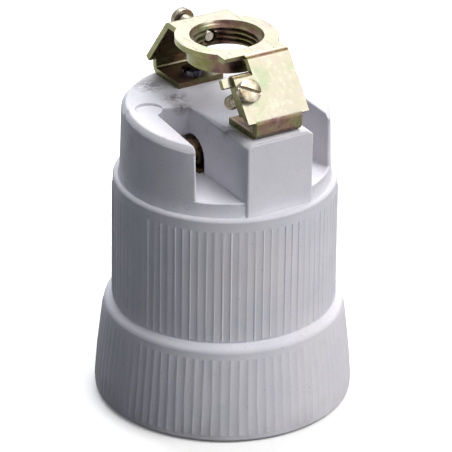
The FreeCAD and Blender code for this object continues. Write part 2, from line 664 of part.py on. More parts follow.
def bracket():
    plate = Part.makeCylinder(PLATE_RADIUS, SHEET, Vector(0, 0, PLATE_TOP - SHEET))
    leg = bracket_leg()
    middle = box(-LEG_HALF_WIDTH, LEG_HALF_WIDTH, -BEND_Y / 2, BEND_Y / 2, -FAR, FAR)
    front = leg.cut(middle)
    rear = mirrored_y(leg).cut(middle)
    front = front.cut(earthing_notch()).fuse(folded_tab())
    shape = plate.fuse([front, rear, collar()])
    return only_solid(shape.cut([collar_bore()] + bracket_holes()))


# ================================================================ fasteners
def earth_screw():
    seat = leg_point(EARTH_SCREW_DROP) + Vector(EARTH_SCREW_X, 0, 0)
    across = Vector(1, 0, 0) + leg_direction() * 0.55
    return slotted_screw(SMALL_SCREW_RADIUS, EARTH_SCREW_LENGTH, SMALL_HEAD_RADIUS, SMALL_HEAD_HEIGHT,
                         seat, leg_normal() * -1, across)


def locking_screw():
    height = lock_screw_height()
    head_y = leg_face_y(height - SMALL_HEAD_RADIUS) + LOCK_SCREW_HEAD_GAP
    seat = Vector(0, head_y, height)
    length = head_y - THREAD_MINOR_RADIUS - LOCK_SCREW_TIP_GAP
    return slotted_screw(SMALL_SCREW_RADIUS, length, SMALL_HEAD_RADIUS, SMALL_HEAD_HEIGHT,
                         seat, Vector(0, -1, 0), Vector(1, 0, 0.4))


def foot_screw(y):
    seat = Vector(0, y, PLATFORM_HEIGHT + SHEET)
    length = seat.z - NUT_POCKET_ROOF + NUT_HEIGHT + FOOT_SCREW_PROUD
    return slotted_screw(FOOT_SCREW_RADIUS, length, FOOT_HEAD_RADIUS, FOOT_HEAD_HEIGHT,
                         seat, Vector(0, 0, -1), Vector(1, 0.3, 0))


def foot_nut(y):
    base = Vector(0, y, NUT_POCKET_ROOF - NUT_HEIGHT)
    nut = hexagon(NUT_FLATS, NUT_HEIGHT, base)
    bore = Part.makeCylinder(FOOT_SCREW_RADIUS + THREAD_CLEARANCE, NUT_HEIGHT + 2, base - UP)
    return only_solid(nut.cut(bore))


def fixing_screw(x, y, clamped_under):
    """Cheese-head screw driven up from the socket into a terminal's foot."""
    seat = Vector(x, y, clamped_under)
    tip = SLOT_FLOOR_HEIGHT + TERMINAL_SHEET - FIXING_TIP_INSET
    return slotted_screw(FIXING_SCREW_RADIUS, tip - clamped_under, FIXING_HEAD_RADIUS, FIXING_HEAD_HEIGHT,
                         seat, UP, Vector(0.4, 1, 0))


# ================================================================ terminals
def terminal_screw_height():
    return SLOT_FLOOR_HEIGHT + TERMINAL_SHEET + TERMINAL_HEAD_RADIUS + TERMINAL_HEAD_GAP


def upright_inner_x():
    """Inner face of the left terminal's upright."""
    return -BLOCK_HALF_WIDTH + TERMINAL_UPRIGHT_INSET + TERMINAL_SHEET


def terminal_left():
    """Brass angle: its foot lies on the pocket floor, its upright takes the clamp screw."""
    inner = upright_inner_x()
    outer = inner - TERMINAL_SHEET
    foot_end = -BLOCK_HALF_WIDTH - TERMINAL_FOOT_REACH
    floor = SLOT_FLOOR_HEIGHT
    top = floor + ARCH_CENTRE_RISE + ARCH_RADIUS - TERMINAL_TOP_GAP
    corners = [(inner, floor, BEND_INNER_RADIUS + TERMINAL_SHEET), (inner, top, 0), (outer, top, 0),
               (outer, floor + TERMINAL_SHEET, BEND_INNER_RADIUS), (foot_end, floor + TERMINAL_SHEET, 0),
               (foot_end, floor, 0)]
    face = Part.Face(rounded_wire(corners, in_section))
    face.translate(Vector(0, -TERMINAL_HALF_WIDTH, 0))
    angle = face.extrude(Vector(0, 2 * TERMINAL_HALF_WIDTH, 0))
    centre_z = SLOT_FLOOR_HEIGHT + ARCH_CENTRE_RISE
    crown_start = Vector(outer - TERMINAL_SHEET, 0, centre_z)
    crown = Part.makeCylinder(TERMINAL_HALF_WIDTH, 3 * TERMINAL_SHEET, crown_start, Vector(1, 0, 0))
    lower = box(-FAR, FAR, -FAR, FAR, -FAR, centre_z)
    angle = angle.common(crown.fuse(lower))
    height = terminal_screw_height()
    hole_radius = SMALL_SCREW_RADIUS + THREAD_CLEARANCE
    return angle.cut(rod(hole_radius, Vector(outer - 1, 0, height), Vector(inner + 1, 0, height)))


def tapped(terminal, places):
    """The holes in a terminal's foot for the screws that come up through the porcelain."""
    radius = FIXING_SCREW_RADIUS + THREAD_CLEARANCE
    low = SLOT_FLOOR_HEIGHT - 1
    holes = [Part.makeCylinder(radius, TERMINAL_SHEET + 2, Vector(x, y, low)) for x, y in places]
    return only_solid(terminal.cut(holes))


def clamp_face_x():
    """Face of the left clamp plate that presses on the wire."""
    return upright_inner_x() - TERMINAL_SHEET - WIRE_GAP


def clamp_plate_left():
    face_x = clamp_face_x()
    height = terminal_screw_height()
    half = TERMINAL_HEAD_RADIUS
    plate = box(face_x - CLAMP_SHEET, face_x, -half, half, height - half, height + half)
    corners = [e for e in plate.Edges if abs(e.Vertexes[0].X - e.Vertexes[1].X) > CLAMP_SHEET / 2]
    plate = plate.makeFillet(CLAMP_CORNER_ROUND, corners)
    hole_radius = SMALL_SCREW_RADIUS + THREAD_CLEARANCE
    hole = rod(hole_radius, Vector(face_x - CLAMP_SHEET - 1, 0, height), Vector(face_x + 1, 0, height))
    return only_solid(plate.cut(hole))


def terminal_screw_left():
    seat_x = clamp_face_x() - CLAMP_SHEET
    length = upright_inner_x() + TERMINAL_SCREW_REACH - seat_x
    seat = Vector(seat_x, 0, terminal_screw_height())
    return slotted_screw(SMALL_SCREW_RADIUS, length, TERMINAL_HEAD_RADIUS, SMALL_HEAD_HEIGHT,
                         seat, Vector(1, 0, 0), Vector(0, 1, 1))


# ================================================================ lamp contacts
def thread_wave(offset, low, turns):
    """One side of the rolled thread: round waves between the major and minor radius, from crest to crest."""
    crest = SHELL_MAJOR_RADIUS + offset
    trough = SHELL_MINOR_RADIUS + offset
    middle = (crest + trough) / 2
    quarter = SHELL_THREAD_PITCH / 4
    run = 2 * quarter
    swing = crest - trough
    bend_radius = (run ** 2 + swing ** 2) / (4 * swing)
    half_angle = math.asin(quarter / bend_radius)
    shoulder = bend_radius * (1 - math.cos(half_angle / 2))
    lean = bend_radius * math.sin(half_angle / 2)
    first = Vector(crest, 0, low)
    last = Vector(crest, 0, low + turns * SHELL_THREAD_PITCH)
    first_points = [first, Vector(crest - shoulder, 0, low + lean), Vector(middle, 0, low + quarter)]
    edges = [Part.Arc(*first_points).toShape()]
    for k in range(2 * turns - 1):
        start = low + quarter + k * run
        extreme = trough if k % 2 == 0 else crest
        turning_point = Vector(extreme, 0, start + quarter)
        stop = Vector(middle, 0, start + run)
        edges.append(Part.Arc(Vector(middle, 0, start), turning_point, stop).toShape())
    end_points = [Vector(middle, 0, last.z - quarter), Vector(crest - shoulder, 0, last.z - lean), last]
    edges.append(Part.Arc(*end_points).toShape())
    return edges, first, last


def screw_shell():
    """Rolled brass shell for the lamp cap, closed above by a flange that lies on the ceiling."""
    low = CEILING_HEIGHT - SHELL_ROOT_LENGTH - SHELL_TURNS * SHELL_THREAD_PITCH
    mouth = low - SHELL_MOUTH_LENGTH
    wave_in, in_low, in_high = thread_wave(0, low, SHELL_TURNS)
    wave_out, out_low, out_high = thread_wave(SHELL_SHEET, low, SHELL_TURNS)
    top = CEILING_HEIGHT
    flange = top - SHELL_SHEET
    mouth_in = Vector(in_low.x, 0, mouth)
    mouth_out = Vector(out_low.x, 0, mouth)
    edges = [Part.makeLine(in_low, mouth_in), Part.makeLine(mouth_in, mouth_out),
             Part.makeLine(mouth_out, out_low), *wave_out, *wave_in]
    upper = [out_high, Vector(out_high.x, 0, top), Vector(SHELL_OPENING_RADIUS, 0, top),
             Vector(SHELL_OPENING_RADIUS, 0, flange), Vector(in_high.x, 0, flange), in_high]
    edges += [Part.makeLine(a, b) for a, b in zip(upper, upper[1:])]
    wire = Part.Wire(Part.__sortEdges__(edges))
    shell = Part.Face(wire).revolve(ORIGIN, UP, 360)
    tab_end = FIXING_OFFSET - SHELL_TAB_REACH
    tab = box(tab_end, SHELL_OPENING_RADIUS + 1, -SHELL_TAB_HALF_WIDTH, SHELL_TAB_HALF_WIDTH, flange, top)
    corners = [e for e in tab.Edges if abs(e.Vertexes[0].Z - e.Vertexes[1].Z) > SHELL_SHEET / 2
               and e.Vertexes[0].X < SHELL_OPENING_RADIUS]
    tab = tab.makeFillet(CONTACT_CORNER_ROUND, corners)
    hole_radius = FIXING_SCREW_RADIUS + CONTACT_HOLE_CLEARANCE
    holes = [Part.makeCylinder(hole_radius, 4, Vector(x, y, top - 2)) for x, y in fixing_places()[1:]]
    return only_solid(shell.fuse(tab).cut(holes))


def contact_strap():
    """Brass strip from the left terminal's screw to the middle, where it guides the plunger."""
    top = CEILING_HEIGHT
    strip = box(-FIXING_OFFSET - STRAP_REACH, 0, -STRAP_HALF_WIDTH, STRAP_HALF_WIDTH, top - STRAP_SHEET, top)
    corners = [e for e in strip.Edges if abs(e.Vertexes[0].Z - e.Vertexes[1].Z) > STRAP_SHEET / 2
               and e.Vertexes[0].X < -1]
    strip = strip.makeFillet(CONTACT_CORNER_ROUND, corners)
    eye = Part.makeCylinder(STRAP_HALF_WIDTH, STRAP_SHEET, Vector(0, 0, top - STRAP_SHEET))
    guide = Part.makeCylinder(PLUNGER_STEM_RADIUS + PLUNGER_STEM_CLEARANCE, 4, Vector(0, 0, top - 2))
    hole_radius = FIXING_SCREW_RADIUS + CONTACT_HOLE_CLEARANCE
    hole = Part.makeCylinder(hole_radius, 4, Vector(-FIXING_OFFSET, 0, top - 2))
    return only_solid(strip.fuse(eye).cut([guide, hole]))


def plunger_seat_height():
    """Underside of the strap, from which the plunger hangs on its clip."""
    return CEILING_HEIGHT - STRAP_SHEET


def contact_plunger():
    """Centre contact: domed brass head on a stem that slides in the strap."""
    crown = plunger_seat_height() - PLUNGER_GAP
    nose = crown - PLUNGER_HEAD_HEIGHT
    stem_top = CEILING_HEIGHT + CLIP_SHEET + STEM_END_LENGTH
    r, s = PLUNGER_RADIUS, PLUNGER_STEM_RADIUS
    return only_solid(turned([(0, nose, 0), (r * 0.62, nose, 0.8), (r, nose + 1.2, 0.6), (r, crown, 0.4),
                              (s, crown, 0), (s, stem_top, 0.3), (0, stem_top, 0)]))


def clip_radius():
    return PLUNGER_STEM_RADIUS + CLIP_WIDTH


def plunger_clip():
    """Push-on ring that keeps the plunger's stem in the strap."""
    base = Vector(0, 0, CEILING_HEIGHT)
    ring = Part.makeCylinder(clip_radius(), CLIP_SHEET, base)
    return only_solid(ring.cut(Part.makeCylinder(PLUNGER_STEM_RADIUS, CLIP_SHEET + 2, base - UP)))


def contact_spring():
    """Helical spring between the plunger's head and the strap, drawn with flat-sided wire."""
    end_space = SPRING_WIRE_RADIUS + SPRING_END_GAP
    low = plunger_seat_height() - PLUNGER_GAP + end_space
    height = PLUNGER_GAP - 2 * end_space
    spring_radius = PLUNGER_STEM_RADIUS + SPRING_STEM_GAP + SPRING_WIRE_RADIUS
    steps = round(SPRING_TURNS * SPRING_STEPS)
    sections = []
    for k in range(steps + 1):
        angle = 2 * math.pi * k / SPRING_STEPS
        outward = Vector(math.cos(angle), math.sin(angle), 0)
        centre = outward * spring_radius + UP * (low + height * k / steps)
        around = [2 * math.pi * side / SPRING_WIRE_SIDES for side in range(SPRING_WIRE_SIDES)]
        points = [centre + (outward * math.cos(a) + UP * math.sin(a)) * SPRING_WIRE_RADIUS for a in around]
        sections.append(Part.makePolygon(points + points[:1]))
    return only_solid(Part.makeLoft(sections, True, True))


# ================================================================ assembly
def pieces():
    left_fixing = fixing_places()[:1]
    right_fixings = fixing_places()[1:]
    left_angle = terminal_left()
    clamp = clamp_plate_left()
    screw = terminal_screw_left()
    strap_under = CEILING_HEIGHT - STRAP_SHEET
    shell_under = CEILING_HEIGHT - SHELL_SHEET
    nodes = {
        "porcelain_body": porcelain_body(),
        "bracket": bracket(),
        "earth_screw": earth_screw(),
        "locking_screw": locking_screw(),
        "foot_screw_front": foot_screw(-FOOT_SCREW_Y),
        "foot_screw_rear": foot_screw(FOOT_SCREW_Y),
        "foot_nut_front": foot_nut(-FOOT_SCREW_Y),
        "foot_nut_rear": foot_nut(FOOT_SCREW_Y),
        "terminal_left": tapped(left_angle, left_fixing),
        "terminal_right": tapped(mirrored_x(left_angle), right_fixings),
        "clamp_plate_left": clamp,
        "clamp_plate_right": mirrored_x(clamp),
        "terminal_screw_left": screw,
        "terminal_screw_right": mirrored_x(screw),
        "screw_shell": screw_shell(),
        "contact_strap": contact_strap(),
        "contact_plunger": contact_plunger(),
        "plunger_clip": plunger_clip(),
        "contact_spring": contact_spring(),
        "strap_screw": fixing_screw(*left_fixing[0], strap_under),
        "shell_screw_front": fixing_screw(*right_fixings[0], shell_under),
        "shell_screw_rear": fixing_screw(*right_fixings[1], shell_under),
    }
    return nodes


def main():
    os.makedirs("parts", exist_ok=True)
    for name, shape in pieces().items():
        shape.exportStep("parts/%s.step" % name)
        print("%-22s valid %s  volume %.1f mm3" % (name, shape.isValid(), shape.Volume))


main()
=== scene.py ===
import functools
import json
import math

import bmesh
import bpy
from mathutils import Matrix, Vector


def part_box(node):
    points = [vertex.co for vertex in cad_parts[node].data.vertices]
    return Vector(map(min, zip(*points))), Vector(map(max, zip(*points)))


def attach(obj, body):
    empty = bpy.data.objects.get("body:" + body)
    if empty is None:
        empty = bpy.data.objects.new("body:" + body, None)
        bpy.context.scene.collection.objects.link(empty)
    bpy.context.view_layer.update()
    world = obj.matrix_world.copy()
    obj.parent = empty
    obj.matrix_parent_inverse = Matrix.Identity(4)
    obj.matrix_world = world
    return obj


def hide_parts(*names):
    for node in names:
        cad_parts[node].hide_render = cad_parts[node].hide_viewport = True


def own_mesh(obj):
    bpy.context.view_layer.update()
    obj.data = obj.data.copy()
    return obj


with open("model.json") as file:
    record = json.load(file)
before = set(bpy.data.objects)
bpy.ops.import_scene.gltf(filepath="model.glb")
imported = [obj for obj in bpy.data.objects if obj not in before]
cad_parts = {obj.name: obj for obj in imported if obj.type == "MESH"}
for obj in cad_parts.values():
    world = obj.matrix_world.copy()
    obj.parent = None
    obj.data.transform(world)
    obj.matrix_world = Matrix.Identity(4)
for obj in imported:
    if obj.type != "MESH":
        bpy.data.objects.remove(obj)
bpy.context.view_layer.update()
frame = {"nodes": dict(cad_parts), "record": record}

MM = 0.001
TURN = 2 * math.pi
UP = Vector((0, 0, 1))

# ---------------------------------------------------------------- camera and light
AIM = Vector((0.0, 0.0, 0.047))
CAMERA_AZIMUTH = -32.2
CAMERA_ELEVATION = 26.45
CAMERA_DISTANCE = 0.7438
CAMERA_ROLL = 0.74
LENS_MM = 238.9
SENSOR_MM = 36.0
SHIFT_X = 0.0033
SHIFT_Y = -0.0294
KEY_AZIMUTH = 34.0
KEY_ELEVATION = 54.0
KEY_STRENGTH = 2.5
KEY_SOFTNESS = 44.0
KEY_COLOUR = (1.0, 0.985, 0.96)
BACK_AZIMUTH = 152.0
BACK_ELEVATION = 52.0
BACK_STRENGTH = 3.3
BACK_SOFTNESS = 44.0
BACK_COLOUR = (0.97, 0.98, 1.0)
LOW_AZIMUTH = 22.0
LOW_ELEVATION = 6.0
LOW_STRENGTH = 1.1
LOW_SOFTNESS = 44.0
LOW_COLOUR = (0.98, 0.98, 1.0)
FILL_BRIGHT_SIDE = (0.12, 0.125, 0.14)
FILL_DARK_SIDE = (0.006, 0.008, 0.013)
SIDE_LAMP_PLACE = (-0.20, -0.03, 0.105)
SIDE_LAMP_AIM = (0.0, 0.0, 0.090)
SIDE_LAMP_SIZE = 0.12
SIDE_LAMP_POWER = 0.035
SIDE_LAMP_COLOUR = (0.82, 0.90, 1.0)
FLOOR_LIFT = 0.12
FLOOR_BOUNCE = 0.05

# ---------------------------------------------------------------- sizes of the dressed pieces
SCREW_SEGMENTS = 48
ROWS_PER_PITCH = 8
SMALL_PITCH = 0.7 * MM
FIXING_PITCH = 0.45 * MM
SMALL_RADIUS = 1.75 * MM
FOOT_RADIUS = 2 * MM
FIXING_RADIUS = 1.25 * MM
SMALL_HEAD_HEIGHT = 2 * MM
FOOT_HEAD_HEIGHT = 1.7 * MM
FIXING_HEAD_HEIGHT = 1.6 * MM
THREAD_DEPTH_SHARE = 0.61
THREAD_TIP_CHAMFER = 0.35
THREAD_RUNOUT = 0.6
THREAD_RUNOUT_RISE = 0.9
THREAD_HEAD_GAP = 0.02 * MM
HEAD_EDGE = 0.10
HEAD_DOME = 0.06
HEAD_UNDER_EDGE = 0.3
HEAD_ROUND_STEPS = 4
DRIVER_SLOT_WIDTH = 0.9 * MM
DRIVER_SLOT_SHARE = 0.5
DRIVER_SLOT_REACH = 1.3
PIPE_MAJOR_RADIUS = 8.33 * MM
PIPE_MINOR_RADIUS = 7.48 * MM
PIPE_PITCH = 1.337 * MM
PIPE_SEGMENTS = 96
PIPE_ROOT_CLEAR = 0.2 * MM
PIPE_THREAD_FOOT = 7.2 * MM
PIPE_THREAD_TOP = 1.3 * MM
SHELL_PITCH = 6.35 * MM
SHELL_SHEET = 0.6 * MM
SHELL_THREAD_DEPTH = 1.85 * MM
SHELL_MOUTH_RUN = 2.5 * MM
SHELL_TOP_RUN = 3.0 * MM
SHELL_FADE_IN = 0.5
SHELL_FADE_OUT = 0.35
SHELL_OPENING = 14 * MM
SHELL_SEGMENTS = 96
SHELL_STEPS = 84
SHELL_TAB_INNER = 5.4 * MM
SHELL_TAB_HALF_WIDTH = 5.2 * MM
SHELL_TAB_LAP = 1 * MM
SPRING_WIRE = 0.28 * MM
SPRING_COILS = 3.5
SPRING_STEPS = 168
SPRING_WIRE_SIDES = 12
SPRING_CLOSE = 0.10
SPRING_CLOSE_SPREAD = 1.2
SHEET_EDGE_ROUND = 0.16 * MM
SHEET_MERGE = 0.002 * MM
SHEET_FLAT_DEGREES = 0.5
SHEET_EDGE_DEGREES = 40
CAP_FOOT = 59.2 * MM
PORCELAIN_ROUND = 0.35 * MM
PORCELAIN_MERGE = 0.004 * MM
PORCELAIN_TINY = 0.001 * MM
PORCELAIN_EDGE_DEGREES = 35

# painted shadow of the bracket and its feet on the top of the porcelain, mottled: centre and radius in
# millimetres
PAINTED_SHADOW_SPOTS = [((-11.4, 17.0, 77.5), 5.0), ((-9.6, 7.7, 77.5), 4.5),
           ((-11.2, 2.5, 77.5), 3.0), ((-8.0, -14.8, 77.5), 3.5)]

# ---------------------------------------------------------------- heights that the materials use
UPPER_DIRT_FOOT = 61 * MM
UPPER_DIRT_TOP = 66 * MM
BOTTOM_DARKENING_TOP = 7 * MM
RING_TOP_FADE = (92 * MM, 94 * MM)


# ================================================================ mesh helpers
def new_object(name, bm):
    """Turns a bmesh into an object of the scene."""
    bmesh.ops.recalc_face_normals(bm, faces=bm.faces)
    mesh = bpy.data.meshes.new(name)
    bm.to_mesh(mesh)
    bm.free()
    obj = bpy.data.objects.new(name, mesh)
    bpy.context.scene.collection.objects.link(obj)
    return obj


def shade(obj, sharp_degrees=32):
    obj.data.polygons.foreach_set("use_smooth", [True] * len(obj.data.polygons))
    obj.data.set_sharp_from_angle(angle=math.radians(sharp_degrees))


def bake_modifiers(obj):
    """Replaces the object's mesh by the result of its modifiers."""
    depsgraph = bpy.context.evaluated_depsgraph_get()
    mesh = bpy.data.meshes.new_from_object(obj.evaluated_get(depsgraph))
    obj.modifiers.clear()
    obj.data = mesh


def carve(obj, cutter, operation="DIFFERENCE"):
    modifier = obj.modifiers.new("carve", "BOOLEAN")
    modifier.operation = operation
    modifier.solver = "EXACT"
    modifier.object = cutter
    bake_modifiers(obj)
    bpy.data.objects.remove(cutter)


def soften(obj, width, degrees, segments=2):
    modifier = obj.modifiers.new("soften", "BEVEL")
    modifier.width = width
    modifier.segments = segments
    modifier.limit_method = "ANGLE"
    modifier.angle_limit = math.radians(degrees)
    modifier.harden_normals = False
    bake_modifiers(obj)


def level_normals(obj):
    """Large faces keep their own normals, so only the rounded edges between them are shaded."""
    modifier = obj.modifiers.new("level", "WEIGHTED_NORMAL")
    modifier.mode = "FACE_AREA"
    modifier.keep_sharp = True
    bake_modifiers(obj)


def stack_rings(rings, closed=False):
    """A solid skin over rings of equally many points; its ends are capped, or joined if closed."""
    bm = bmesh.new()
    rows = [[bm.verts.new(p) for p in ring] for ring in rings]
    count = len(rows[0])
    pairs = list(zip(rows, rows[1:]))
    if closed:
        pairs.append((rows[-1], rows[0]))
    for low, high in pairs:
        for k in range(count):
            n = (k + 1) % count
            bm.faces.new((low[k], low[n], high[n], high[k]))
    if not closed:
        bm.faces.new(list(reversed(rows[0])))
        bm.faces.new(rows[-1])
    return bm


def ring(radius, height, segments=SCREW_SEGMENTS):
    """One ring about Z; radius may be a number or a function of the angle."""
    points = []
    for k in range(segments):
        angle = TURN * k / segments
        r = radius(angle) if callable(radius) else radius
        points.append((r * math.cos(angle), r * math.sin(angle), height))
    return points


def thread_wave(height, angle, pitch):
    """0 at the root and 1 at the crest of a right-hand thread with slightly flat crests."""
    phase = (height / pitch - angle / TURN) % 1.0
    return min(1.0, max(0.0, 1.25 * (1 - abs(2 * phase - 1)) - 0.125))


def thread_rings(root, crest, pitch, start, end, limit=None, segments=SCREW_SEGMENTS):
    """Rings of a threaded rod from start up to end; limit caps the radius at a height."""
    steps = max(2, round(abs(end - start) / pitch * ROWS_PER_PITCH))
    rings = []
    for k in range(steps + 1):
        height = start + (end - start) * k / steps

        def radius(angle, height=height):
            r = root + (crest - root) * thread_wave(height, angle, pitch)
            return min(r, limit(height)) if limit else r

        rings.append(ring(radius, height, segments))
    return rings


def box_object(name, low, high, matrix=None):
    bm = bmesh.new()
    bmesh.ops.create_cube(bm, size=1.0)
    low, high = Vector(low), Vector(high)
    for v in bm.verts:
        v.co = Vector((low[i] + high[i]) / 2 + v.co[i] * (high[i] - low[i]) for i in range(3))
    obj = new_object(name, bm)
    if matrix is not None:
        obj.data.transform(matrix)
    return obj


def dress(obj, node, body, look):
    """The piece takes a CAD node's place, rides on its body and gets its look."""
    obj.data.materials.clear()
    obj.data.materials.append(look)
    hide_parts(node)
    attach(obj, body)
    return obj


# ================================================================ node helpers
class Recipe:
    """A material being built: keeps the tree and makes wiring short."""

    def __init__(self, name):
        self.material = bpy.data.materials.new(name)
        self.material.use_nodes = True
        self.tree = self.material.node_tree
        self.shader = self.tree.nodes["Principled BSDF"]
        self.place = self.add("TexCoord").outputs["Object"]

    def add(self, kind, inputs=None, **settings):
        made = self.tree.nodes.new("ShaderNode" + kind)
        for key, value in settings.items():
            setattr(made, key, value)
        for key, value in (inputs or {}).items():
            self.feed(made.inputs[key], value)
        return made

    def feed(self, socket, value):
        if isinstance(value, bpy.types.NodeSocket):
            self.tree.links.new(value, socket)
        else:
            socket.default_value = value

    def stretched(self, scale):
        return self.add("Mapping", {"Vector": self.place, "Scale": scale}).outputs["Vector"]

    def noise(self, scale, detail=2.0, rough=0.5, place=None):
        inputs = {"Vector": place or self.place, "Scale": scale, "Detail": detail, "Roughness": rough}
        return self.add("TexNoise", inputs).outputs["Fac"]

    def spots(self, scale):
        return self.add("TexVoronoi", {"Vector": self.place, "Scale": scale}).outputs["Distance"]

    def band(self, value, low, high, out_low=0.0, out_high=1.0):
        inputs = {"Value": value, "From Min": low, "From Max": high, "To Min": out_low, "To Max": out_high}
        return self.add("MapRange", inputs).outputs["Result"]

    def math(self, operation, a, b=0.0):
        made = self.add("Math", operation=operation)
        self.feed(made.inputs[0], a)
        self.feed(made.inputs[1], b)
        return made.outputs["Value"]

    def mix(self, share, a, b, blend="MIX"):
        made = self.add("Mix", data_type="RGBA", blend_type=blend)
        self.feed(made.inputs[0], share)
        self.feed(made.inputs[6], a)
        self.feed(made.inputs[7], b)
        return made.outputs[2]

    def ramp(self, value, stops):
        made = self.add("ValToRGB", {"Fac": value})
        ramp = made.color_ramp
        while len(ramp.elements) < len(stops):
            ramp.elements.new(1.0)
        for element, (position, colour) in zip(ramp.elements, stops):
            element.position = position
            element.color = (*colour, 1)
        return made.outputs["Color"]

    def bump(self, height, strength, distance, before=None):
        inputs = {"Height": height, "Strength": strength, "Distance": distance}
        if before is not None:
            inputs["Normal"] = before
        return self.add("Bump", inputs).outputs["Normal"]

    def seen_directly(self):
        """1 for what the camera sees, also in polished metal and through glass."""
        path = self.add("LightPath")
        mirrored = self.math("MAXIMUM", path.outputs["Is Glossy Ray"], path.outputs["Is Transmission Ray"])
        return self.math("MAXIMUM", path.outputs["Is Camera Ray"], mirrored)

    def facing(self, direction, low, high):
        """1 where the surface looks along direction; low and high are the cosines it fades between."""
        normal = self.tree.nodes.new("ShaderNodeTexCoord").outputs["Normal"]
        dot = self.add("VectorMath", {0: normal, 1: direction}, operation="DOT_PRODUCT")
        return self.band(dot.outputs["Value"], low, high)

    def spot(self, centre, radius):
        """1 at a point of the object, fading to 0 at the radius."""
        made = self.add("VectorMath", {0: self.place, 1: centre}, operation="DISTANCE")
        return self.band(made.outputs["Value"], 0.0, radius, 1.0, 0.0)

    def axis(self, name):
        return self.add("SeparateXYZ", {"Vector": self.place}).outputs[name]

    def finish(self, **inputs):
        for key, value in inputs.items():
            self.feed(self.shader.inputs[key.replace("_", " ")], value)
        return self.material


def rgb(r, g, b):
    return (r, g, b, 1)


# ================================================================ materials
def porcelain_look():
    r = Recipe("porcelain")
    mottle = r.noise(95, 3.0, 0.55)
    grain = r.noise(1500, 2.0, 0.6)
    base = r.ramp(mottle, [(0.30, (0.66, 0.66, 0.72)), (0.52, (0.70, 0.69, 0.74)),
                           (0.75, (0.73, 0.715, 0.755))])
    warm = r.band(r.noise(42, 2.0), 0.52, 0.70, 0.0, 0.22)
    base = r.mix(warm, base, rgb(0.74, 0.68, 0.66))
    fine = r.band(grain, 0.35, 0.65, 0.0, 0.16)
    base = r.mix(fine, base, rgb(0.50, 0.50, 0.56))
    specks = r.band(r.spots(620), 0.10, 0.16, 0.32, 0.0)
    sparse = r.band(r.noise(260, 1.0), 0.50, 0.62, 0.0, 1.0)
    base = r.mix(r.math("MULTIPLY", specks, sparse), base, rgb(0.22, 0.20, 0.20))
    height = r.axis("Z")
    upper = r.band(height, UPPER_DIRT_FOOT, UPPER_DIRT_TOP)
    smudge = r.band(r.noise(180, 4.0, 0.7), 0.58, 0.74, 0.0, 0.3)
    base = r.mix(r.math("MULTIPLY", smudge, upper), base, rgb(0.34, 0.33, 0.35))
    # Painted shadow of the bracket, mottled, at the spots listed above.
    shadow_mottle = r.band(r.noise(700, 4.0, 0.7), 0.36, 0.56, 0.0, 1.0)
    for centre, radius in PAINTED_SHADOW_SPOTS:
        near = r.math("MULTIPLY", r.spot(Vector(centre) * MM, radius * MM), shadow_mottle)
        base = r.mix(near, base, rgb(0.16, 0.15, 0.16))
    # Darker towards the bottom, in patches.
    bottom_darkening = r.band(height, 0.0, BOTTOM_DARKENING_TOP, 0.35, 0.0)
    patchy = r.band(r.noise(120, 3.0, 0.6), 0.4, 0.65)
    base = r.mix(r.math("MULTIPLY", bottom_darkening, patchy), base, rgb(0.36, 0.33, 0.33))
    rough = r.band(r.noise(330, 3.0), 0.3, 0.7, 0.55, 0.72)
    normal = r.bump(r.noise(160, 2.0), 0.25, 0.10 * MM)
    normal = r.bump(grain, 0.35, 0.03 * MM, normal)
    return r.finish(Base_Color=base, Roughness=rough, Normal=normal, Specular_IOR_Level=0.12)


def zinc_look(name, tones, rough_low, rough_high, streak_scale):
    """Passivated zinc: patches of several tints, rolling streaks and fine scratches."""
    r = Recipe(name)
    patches = r.noise(140, 3.0, 0.6)
    colour = r.ramp(patches, tones)
    streaks = r.noise(900, 3.0, 0.6, r.stretched(streak_scale))
    colour = r.mix(r.band(streaks, 0.45, 0.7, 0.0, 0.25), colour, rgb(0.45, 0.40, 0.33))
    wear = r.band(r.noise(420, 4.0, 0.7), 0.62, 0.74, 0.0, 0.5)
    colour = r.mix(wear, colour, rgb(0.50, 0.47, 0.42))
    rough = r.band(streaks, 0.3, 0.7, rough_low, rough_high)
    normal = r.bump(streaks, 0.30, 0.02 * MM)
    normal = r.bump(r.noise(240, 2.0), 0.25, 0.06 * MM, normal)
    return r.finish(Base_Color=colour, Metallic=1.0, Roughness=rough, Normal=normal)


